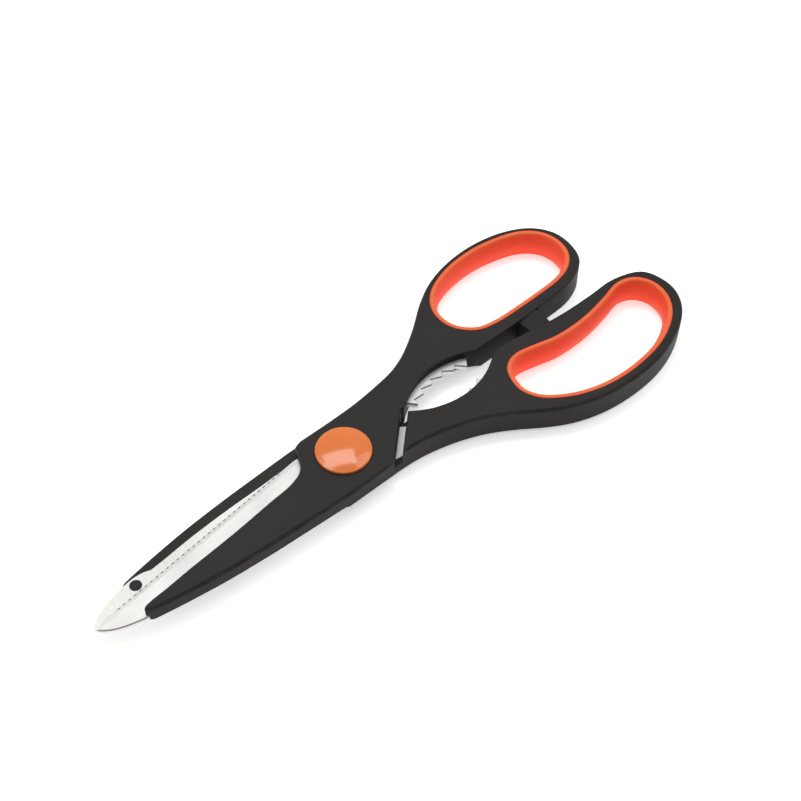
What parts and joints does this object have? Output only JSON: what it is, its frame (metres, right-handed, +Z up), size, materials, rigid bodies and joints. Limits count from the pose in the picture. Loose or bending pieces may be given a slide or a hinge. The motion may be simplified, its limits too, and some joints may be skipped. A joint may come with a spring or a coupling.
{
  "type": "poultry shears",
  "caption": "Lap-jointed poultry shears with covered blade spines, a scalloped cutting edge, a toothed nutcracker opening, soft-lined finger loops and a domed pivot cap.",
  "frame": {"origin": "on the pivot axis, in the plane that the closed shears lie on", "axes": "+X along the closed blades to the tip, +Y to the finger loop, +Z up through the pivot to the domed cap"},
  "size_m": [0.2142, 0.0763, 0.0119],
  "materials": {
    "blade_steel": "fine brushed stainless steel",
    "handle_plastic": "matt black, finely textured",
    "grip_rubber": "soft matt orange",
    "fastener_steel": "plain turned steel",
    "washer_nylon": "natural nylon",
    "cap_plastic": "semi-gloss orange"
  },
  "bodies": {
    "back_half": {"back_blade": "blade_steel", "finger_handle": "handle_plastic", "finger_grip": "grip_rubber", "pivot_screw": "fastener_steel", "pivot_nut": "fastener_steel", "flat_washer": "washer_nylon", "disc_spring": "fastener_steel", "back_cap": "cap_plastic"},
    "front_half": {"front_blade": "blade_steel", "thumb_handle": "handle_plastic", "thumb_grip": "grip_rubber", "front_cap": "cap_plastic"}
  },
  "joints": [
    {"name": "blade_pivot", "type": "hinge", "parent": "back_half", "child": "front_half", "pos_m": [0, 0, 0], "axis": [0, 0, 1], "range_deg": [0, 65]}
  ]
}
